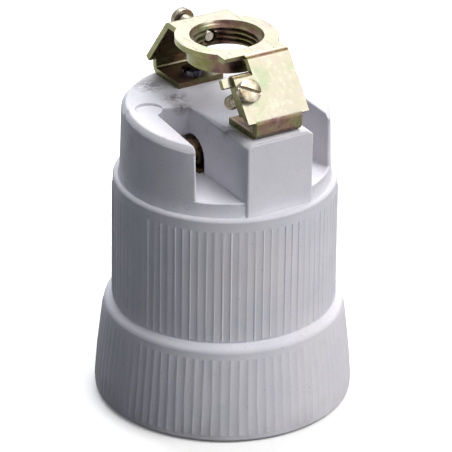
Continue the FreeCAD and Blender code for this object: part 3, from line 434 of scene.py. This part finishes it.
def bracket_look():
    """Passivated sheet, its light and shade painted by face direction: pale painted reflection on the
    ring's top and the front leg, olive and bronze painted shade everywhere else.

    The front leg's tone is written darker than the ring's, because it faces the strong key lamp.
    """
    r = Recipe("passivated_steel")
    patches = r.noise(150, 3.0, 0.6)
    # Lit and shaded copies of one coat: the pale tones are painted reflection, the deep tones painted
    # shade.
    lit_tones = r.ramp(patches, [(0.28, (0.27, 0.32, 0.20)), (0.44, (0.37, 0.35, 0.26)),
                              (0.60, (0.38, 0.35, 0.28)), (0.76, (0.35, 0.26, 0.24))])
    shaded_tones = r.ramp(patches, [(0.28, (0.08, 0.10, 0.04)), (0.44, (0.12, 0.10, 0.045)),
                            (0.58, (0.12, 0.065, 0.045)), (0.74, (0.06, 0.035, 0.04))])
    # Faces looking sideways, the sheet's cut edges, get olive painted shade.
    sides = r.math("MAXIMUM", r.facing((1, 0, 0), 0.75, 0.9), r.facing((-1, 0, 0), 0.75, 0.9))
    olive = r.mix(r.noise(300, 2.0), rgb(0.08, 0.08, 0.025), rgb(0.20, 0.20, 0.07))
    shaded_tones = r.mix(sides, shaded_tones, olive)
    # Painted reflection: only the ring's flat top keeps the pale tones.
    top = r.math("MULTIPLY", r.facing((0, 0, 1), 0.97, 0.995), r.band(r.axis("Z"), *RING_TOP_FADE))
    # Painted shade against the key lamp: the front leg gets the pale tones made deeper.
    leg = r.facing(joint_axis("earth_screw_travel"), 0.975, 0.995)
    colour = r.mix(top, shaded_tones, lit_tones)
    colour = r.mix(leg, colour, r.mix(1.0, lit_tones, rgb(0.58, 0.58, 0.60), "MULTIPLY"))
    streaks = r.noise(900, 3.0, 0.6, r.stretched((1, 0.12, 1)))
    colour = r.mix(r.band(streaks, 0.45, 0.7, 0.0, 0.22), colour, rgb(0.30, 0.26, 0.20))
    wear = r.band(r.noise(420, 4.0, 0.7), 0.64, 0.76, 0.0, 0.4)
    colour = r.mix(wear, colour, rgb(0.34, 0.32, 0.28))
    rough = r.band(streaks, 0.3, 0.7, 0.24, 0.38)
    normal = r.bump(streaks, 0.30, 0.02 * MM)
    normal = r.bump(r.noise(240, 2.0), 0.25, 0.06 * MM, normal)
    return r.finish(Base_Color=colour, Metallic=0.8, Roughness=rough, Normal=normal)


def brass_look(name, clean, dull, rough_low, rough_high):
    r = Recipe(name)
    tarnish = r.band(r.noise(260, 4.0, 0.65), 0.42, 0.66)
    colour = r.mix(tarnish, clean, dull)
    brushed = r.noise(1300, 2.0, 0.6, r.stretched((1, 1, 0.15)))
    colour = r.mix(r.band(brushed, 0.5, 0.75, 0.0, 0.3), colour, rgb(0.30, 0.19, 0.10))
    rough = r.band(tarnish, 0.0, 1.0, rough_low, rough_high)
    normal = r.bump(brushed, 0.25, 0.02 * MM)
    return r.finish(Base_Color=colour, Metallic=1.0, Roughness=rough, Normal=normal)


def make_looks():
    bright_zinc = [(0.36, (0.05, 0.04, 0.025)), (0.46, (0.16, 0.135, 0.09)),
                   (0.60, (0.33, 0.305, 0.26)), (0.74, (0.10, 0.07, 0.04))]
    blued = [(0.30, (0.006, 0.007, 0.012)), (0.60, (0.018, 0.020, 0.035)),
             (0.80, (0.045, 0.050, 0.080))]
    spring = [(0.30, (0.45, 0.45, 0.46)), (0.70, (0.62, 0.62, 0.62))]
    return {
        "porcelain": porcelain_look(),
        "passivated_steel": bracket_look(),
        "screw_steel": zinc_look("screw_steel", bright_zinc, 0.22, 0.38, (1, 1, 0.3)),
        "blued_steel": zinc_look("blued_steel", blued, 0.25, 0.40, (1, 1, 0.3)),
        "spring_steel": zinc_look("spring_steel", spring, 0.22, 0.35, (1, 1, 1)),
        # The terminals' brass is written deep brown, painted shade of the slot pocket they sit in.
        "brass": brass_look("brass", rgb(0.24, 0.16, 0.09), rgb(0.07, 0.05, 0.035), 0.28, 0.46),
        "screw_brass": brass_look("screw_brass", rgb(0.34, 0.24, 0.14), rgb(0.12, 0.08, 0.05), 0.26, 0.42),
        "shell_brass": brass_look("shell_brass", rgb(0.78, 0.56, 0.28), rgb(0.56, 0.38, 0.20), 0.20, 0.36),
    }


# ================================================================ dressed screws
def span_along(node, axis, across, side):
    """How far a node's mesh reaches along three directions."""
    points = [v.co for v in frame["nodes"][node].data.vertices]
    spans = []
    for direction in (across, side, axis):
        values = [p.dot(direction) for p in points]
        spans.append((min(values), max(values)))
    return spans


def dressed_screw(node, body, outward, head_height, shank_radius, pitch, slot_direction, look, slot_name):
    """Slotted cheese-head screw with a real thread, laid exactly over the plain CAD screw."""
    axis = Vector(outward).normalized()
    across = Vector(slot_direction)
    across = (across - axis * across.dot(axis)).normalized()
    side = axis.cross(across)
    (u_low, u_high), (v_low, v_high), (w_low, w_high) = span_along(node, axis, across, side)
    head_radius = (u_high - u_low) / 2
    seat = w_high - head_height
    length = seat - w_low
    root = shank_radius - THREAD_DEPTH_SHARE * pitch
    chamfer = THREAD_TIP_CHAMFER * shank_radius
    runout = THREAD_RUNOUT * pitch

    def limit(height):
        near_tip = shank_radius - chamfer + max(0.0, height + length)
        near_head = root + max(0.0, -height) / runout * (shank_radius - root) * THREAD_RUNOUT_RISE
        return min(near_tip, max(near_head, root))

    rings = thread_rings(root, shank_radius, pitch, -length, -THREAD_HEAD_GAP, limit)
    edge = HEAD_EDGE * head_radius
    dome = HEAD_DOME * head_radius
    under_edge = edge * HEAD_UNDER_EDGE
    rings += [ring(root, 0), ring(head_radius - under_edge, 0), ring(head_radius, under_edge)]
    for k in range(HEAD_ROUND_STEPS + 1):
        bend = math.radians(90 * k / HEAD_ROUND_STEPS)
        height = head_height - dome - edge + edge * math.sin(bend)
        rings.append(ring(head_radius - edge * (1 - math.cos(bend)), height))
    rings.append(ring(head_radius * 0.45, head_height - dome * 0.25))
    rings.append(ring(head_radius * 0.08, head_height))
    obj = new_object(node + "_dressed", stack_rings(rings))
    reach = head_radius * DRIVER_SLOT_REACH
    slot_floor = head_height * (1 - DRIVER_SLOT_SHARE)
    cutter = box_object("driver_slot", (-reach, -DRIVER_SLOT_WIDTH / 2, slot_floor),
                        (reach, DRIVER_SLOT_WIDTH / 2, head_height + MM))
    carve(obj, cutter)
    frame_axes = Matrix((across, side, axis)).transposed().to_4x4()
    centre = across * (u_low + u_high) / 2 + side * (v_low + v_high) / 2 + axis * seat
    obj.data.transform(Matrix.Translation(centre) @ frame_axes)
    shade(obj, 38)
    return dress(obj, node, body, look)


def joint_axis(name):
    for joint in frame["record"]["behaviour"]["joints"]:
        if joint["name"] == name:
            return joint["axis"]
    raise KeyError(name)


def dress_screws(looks):
    steel, brass, blued = looks["screw_steel"], looks["screw_brass"], looks["blued_steel"]
    small = (SMALL_HEAD_HEIGHT, SMALL_RADIUS, SMALL_PITCH)
    foot = (FOOT_HEAD_HEIGHT, FOOT_RADIUS, SMALL_PITCH)
    fixing = (FIXING_HEAD_HEIGHT, FIXING_RADIUS, FIXING_PITCH)
    earth_axis = joint_axis("earth_screw_travel")
    dressed_screw("earth_screw", "earth", earth_axis, *small, (1, -0.34, -0.43), steel, "screw_steel")
    dressed_screw("locking_screw", "locking", (0, 1, 0), *small, (1, 0, 0.4), steel, "screw_steel")
    for side, outward in (("left", (-1, 0, 0)), ("right", (1, 0, 0))):
        node, body = "terminal_screw_" + side, "clamp_" + side
        dressed_screw(node, body, outward, *small, (0, 1, 1), brass, "screw_brass")
    for place in ("front", "rear"):
        dressed_screw("foot_screw_" + place, "holder", (0, 0, 1), *foot, (1, 0.3, 0), blued, "blued_steel")
    for node in ("strap_screw", "shell_screw_front", "shell_screw_rear"):
        dressed_screw(node, "holder", (0, 0, -1), *fixing, (0.4, 1, 0), brass, "screw_brass")


# ================================================================ porcelain with softened edges
def dressed_porcelain(looks):
    """The CAD porcelain's own shape, with the sharp edges of its top block and slots rounded off."""
    bm = bmesh.new()
    bm.from_mesh(frame["nodes"]["porcelain_body"].data)
    bmesh.ops.remove_doubles(bm, verts=bm.verts, dist=PORCELAIN_MERGE)
    sharp = math.radians(PORCELAIN_EDGE_DEGREES)
    edges = []
    for edge in bm.edges:
        above = min(v.co.z for v in edge.verts) > CAP_FOOT
        if above and edge.is_manifold and edge.calc_face_angle() > sharp and edge.is_convex:
            edges.append(edge)
    bmesh.ops.bevel(bm, geom=edges, offset=PORCELAIN_ROUND, offset_type="OFFSET", segments=3, profile=0.5,
                    affect="EDGES", clamp_overlap=False)
    bmesh.ops.dissolve_degenerate(bm, dist=PORCELAIN_TINY, edges=bm.edges)
    obj = new_object("porcelain_body_dressed", bm)
    shade(obj, 30)
    level_normals(obj)
    return dress(obj, "porcelain_body", "holder", looks["porcelain"])


# ================================================================ bracket with its pipe thread
def pipe_tap(low, high):
    """A threaded plug that cuts the collar's internal thread."""
    root = PIPE_MINOR_RADIUS - PIPE_ROOT_CLEAR
    rings = thread_rings(root, PIPE_MAJOR_RADIUS, PIPE_PITCH, low, high, segments=PIPE_SEGMENTS)
    return new_object("pipe_tap", stack_rings(rings))


def dressed_bracket(looks):
    """The CAD bracket's own shape with rounded sheet edges and the thread cut into its collar."""
    bm = bmesh.new()
    bm.from_mesh(frame["nodes"]["bracket"].data)
    bmesh.ops.remove_doubles(bm, verts=bm.verts, dist=SHEET_MERGE)
    flat = math.radians(SHEET_FLAT_DEGREES)
    bmesh.ops.dissolve_limit(bm, angle_limit=flat, verts=bm.verts, edges=bm.edges)
    obj = new_object("bracket_dressed", bm)
    soften(obj, SHEET_EDGE_ROUND, SHEET_EDGE_DEGREES)
    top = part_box("bracket")[1].z
    carve(obj, pipe_tap(top - PIPE_THREAD_FOOT, top - PIPE_THREAD_TOP))
    shade(obj, 30)
    level_normals(obj)
    return dress(obj, "bracket", "holder", looks["passivated_steel"])


# ================================================================ lamp shell with its helical thread
def shell_radius(base, height, angle, low, high):
    """Rolled thread: a wave round the shell that fades in and out near its ends."""
    phase = (height / SHELL_PITCH - angle / TURN) * TURN
    wave = base - SHELL_THREAD_DEPTH / 2 * (1 - math.cos(phase))
    rise = max(0.0, (height - low) / (SHELL_FADE_IN * SHELL_PITCH))
    fall = max(0.0, (high - height) / (SHELL_FADE_OUT * SHELL_PITCH))
    fade = min(1.0, rise, fall)
    fade = fade * fade * (3 - 2 * fade)
    return base + (wave - base) * fade


def dressed_shell(looks):
    """Rolled shell with its helical thread, its top opening and its inner tab."""
    low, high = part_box("screw_shell")
    mouth, top = low.z, high.z
    ceiling = top - SHELL_SHEET
    thread_low, thread_high = mouth + SHELL_MOUTH_RUN, top - SHELL_TOP_RUN
    heights = [mouth + (ceiling - mouth) * k / SHELL_STEPS for k in range(SHELL_STEPS + 1)]

    def wall(base):
        made = []
        for h in heights:
            profile = functools.partial(shell_radius, base, h, low=thread_low, high=thread_high)
            made.append(ring(profile, h, SHELL_SEGMENTS))
        return made

    rings = wall(high.x)
    rings += [ring(radius, height, SHELL_SEGMENTS) for radius, height in
              ((high.x, top), (SHELL_OPENING, top), (SHELL_OPENING, ceiling))]
    rings += reversed(wall(high.x - SHELL_SHEET))
    obj = new_object("screw_shell_dressed", stack_rings(rings, closed=True))
    tab = box_object("tab", (SHELL_TAB_INNER, -SHELL_TAB_HALF_WIDTH, ceiling),
                     (SHELL_OPENING + SHELL_TAB_LAP, SHELL_TAB_HALF_WIDTH, top))
    carve(obj, tab, "UNION")
    shade(obj, 40)
    return dress(obj, "screw_shell", "holder", looks["shell_brass"])


# ================================================================ plunger spring
def dressed_spring(looks):
    """Round wire coil with closed ends."""
    low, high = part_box("contact_spring")
    radius = high.x - SPRING_WIRE
    bottom, top = low.z + SPRING_WIRE, high.z - SPRING_WIRE
    around = [TURN * side / SPRING_WIRE_SIDES for side in range(SPRING_WIRE_SIDES)]
    rings = []
    for k in range(SPRING_STEPS + 1):
        share = k / SPRING_STEPS
        angle = TURN * SPRING_COILS * share
        eased = share - SPRING_CLOSE * math.sin(TURN * share) / SPRING_CLOSE_SPREAD
        height = bottom + (top - bottom) * min(1.0, max(0.0, eased))
        outward = Vector((math.cos(angle), math.sin(angle), 0))
        centre = outward * radius + UP * height
        rings.append([centre + (outward * math.cos(a) + UP * math.sin(a)) * SPRING_WIRE for a in around])
    obj = new_object("contact_spring_coil", stack_rings(rings))
    shade(obj, 50)
    obj.data.materials.append(looks["spring_steel"])
    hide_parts("contact_spring")
    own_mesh(obj)
    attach(obj, "holder")
    return obj


# ================================================================ CAD nodes that stay
def paint_frame(looks):
    slots = {part["node"]: part["material_slot"] for part in frame["record"]["subparts"]}
    for name, obj in frame["nodes"].items():
        obj.data.materials.clear()
        obj.data.materials.append(looks[slots[name]])


# ================================================================ studio
def towards(azimuth, elevation):
    """Unit vector to a place round and above the object, in degrees from -Y and from level."""
    a, e = math.radians(azimuth), math.radians(elevation)
    return Vector((math.sin(a) * math.cos(e), -math.cos(a) * math.cos(e), math.sin(e)))


def add_camera():
    data = bpy.data.cameras.new("camera")
    data.lens = LENS_MM
    data.sensor_width = SENSOR_MM
    data.shift_x = SHIFT_X
    data.shift_y = SHIFT_Y
    data.clip_start = 0.01
    data.clip_end = 10.0
    camera = bpy.data.objects.new("camera", data)
    bpy.context.scene.collection.objects.link(camera)
    away = towards(CAMERA_AZIMUTH, CAMERA_ELEVATION)
    look = (-away).to_track_quat("-Z", "Y").to_matrix()
    roll = Matrix.Rotation(math.radians(CAMERA_ROLL), 3, "Z")
    camera.matrix_world = Matrix.Translation(AIM + away * CAMERA_DISTANCE) @ (look @ roll).to_4x4()
    bpy.context.scene.camera = camera


def add_floor():
    reach = 3.0
    drop = -0.1 * MM
    corners = [(-reach, -reach, drop), (reach, -reach, drop), (reach, reach, drop), (-reach, reach, drop)]
    mesh = bpy.data.meshes.new("floor")
    mesh.from_pydata(corners, [], [(0, 1, 2, 3)])
    floor = bpy.data.objects.new("floor", mesh)
    bpy.context.scene.collection.objects.link(floor)
    r = Recipe("floor_white")
    seen = r.seen_directly()
    bounce = rgb(FLOOR_BOUNCE, FLOOR_BOUNCE, FLOOR_BOUNCE)
    tone = r.mix(seen, bounce, rgb(0.92, 0.92, 0.92))
    lift = r.math("MULTIPLY", seen, FLOOR_LIFT)
    floor.data.materials.append(r.finish(Base_Color=tone, Roughness=0.9, Emission_Color=rgb(1, 1, 1),
                                         Emission_Strength=lift, Specular_IOR_Level=0.0))


def add_world():
    """Dim bluish surroundings, brighter on the key's side; seen directly they are white."""
    world = bpy.data.worlds.new("studio")
    bpy.context.scene.world = world
    world.use_nodes = True
    tree = world.node_tree
    glow = tree.nodes["Background"]
    place = tree.nodes.new("ShaderNodeTexCoord")
    turn = tree.nodes.new("ShaderNodeVectorMath")
    turn.operation = "DOT_PRODUCT"
    a = math.radians(KEY_AZIMUTH)
    turn.inputs[1].default_value = (math.sin(a) * 0.8, -math.cos(a) * 0.8, 0.6)
    side = tree.nodes.new("ShaderNodeMapRange")
    side.inputs["From Min"].default_value = -0.9
    side.inputs["From Max"].default_value = 0.9
    blend = tree.nodes.new("ShaderNodeMix")
    blend.data_type = "RGBA"
    blend.inputs[6].default_value = (*FILL_DARK_SIDE, 1)
    blend.inputs[7].default_value = (*FILL_BRIGHT_SIDE, 1)
    tree.links.new(place.outputs["Generated"], turn.inputs[0])
    tree.links.new(turn.outputs["Value"], side.inputs["Value"])
    tree.links.new(side.outputs["Result"], blend.inputs[0])
    tree.links.new(blend.outputs[2], glow.inputs["Color"])
    white = tree.nodes.new("ShaderNodeBackground")
    path = tree.nodes.new("ShaderNodeLightPath")
    mirrored = tree.nodes.new("ShaderNodeMath")
    mirrored.operation = "MAXIMUM"
    seen = tree.nodes.new("ShaderNodeMath")
    seen.operation = "MAXIMUM"
    mix = tree.nodes.new("ShaderNodeMixShader")
    tree.links.new(path.outputs["Is Glossy Ray"], mirrored.inputs[0])
    tree.links.new(path.outputs["Is Transmission Ray"], mirrored.inputs[1])
    tree.links.new(path.outputs["Is Camera Ray"], seen.inputs[0])
    tree.links.new(mirrored.outputs["Value"], seen.inputs[1])
    tree.links.new(seen.outputs["Value"], mix.inputs["Fac"])
    tree.links.new(glow.outputs["Background"], mix.inputs[1])
    tree.links.new(white.outputs["Background"], mix.inputs[2])
    tree.links.new(mix.outputs["Shader"], tree.nodes["World Output"].inputs["Surface"])
    white.inputs["Color"].default_value = (1, 1, 1, 1)
    white.inputs["Strength"].default_value = 1.0


def add_sun(name, azimuth, elevation, strength, softness, colour):
    data = bpy.data.lights.new(name, "SUN")
    data.energy = strength
    data.angle = math.radians(softness)
    data.color = colour
    sun = bpy.data.objects.new(name, data)
    bpy.context.scene.collection.objects.link(sun)
    sun.rotation_euler = towards(azimuth, elevation).to_track_quat("Z", "Y").to_euler()


def add_side_lamp():
    """A weak bluish lamp on the shaded side."""
    data = bpy.data.lights.new("side_lamp", "AREA")
    data.energy = SIDE_LAMP_POWER
    data.size = SIDE_LAMP_SIZE
    data.color = SIDE_LAMP_COLOUR
    lamp = bpy.data.objects.new("side_lamp", data)
    bpy.context.scene.collection.objects.link(lamp)
    place = Vector(SIDE_LAMP_PLACE)
    lamp.location = place
    lamp.rotation_euler = (place - Vector(SIDE_LAMP_AIM)).to_track_quat("Z", "Y").to_euler()


def main():
    add_camera()
    add_floor()
    add_world()
    add_sun("key", KEY_AZIMUTH, KEY_ELEVATION, KEY_STRENGTH, KEY_SOFTNESS, KEY_COLOUR)
    add_side_lamp()
    add_sun("low", LOW_AZIMUTH, LOW_ELEVATION, LOW_STRENGTH, LOW_SOFTNESS, LOW_COLOUR)
    add_sun("back", BACK_AZIMUTH, BACK_ELEVATION, BACK_STRENGTH, BACK_SOFTNESS, BACK_COLOUR)
    looks = make_looks()
    paint_frame(looks)
    dress_screws(looks)
    dressed_porcelain(looks)
    dressed_bracket(looks)
    dressed_shell(looks)
    dressed_spring(looks)
    bpy.context.scene.view_settings.view_transform = "Standard"


main()
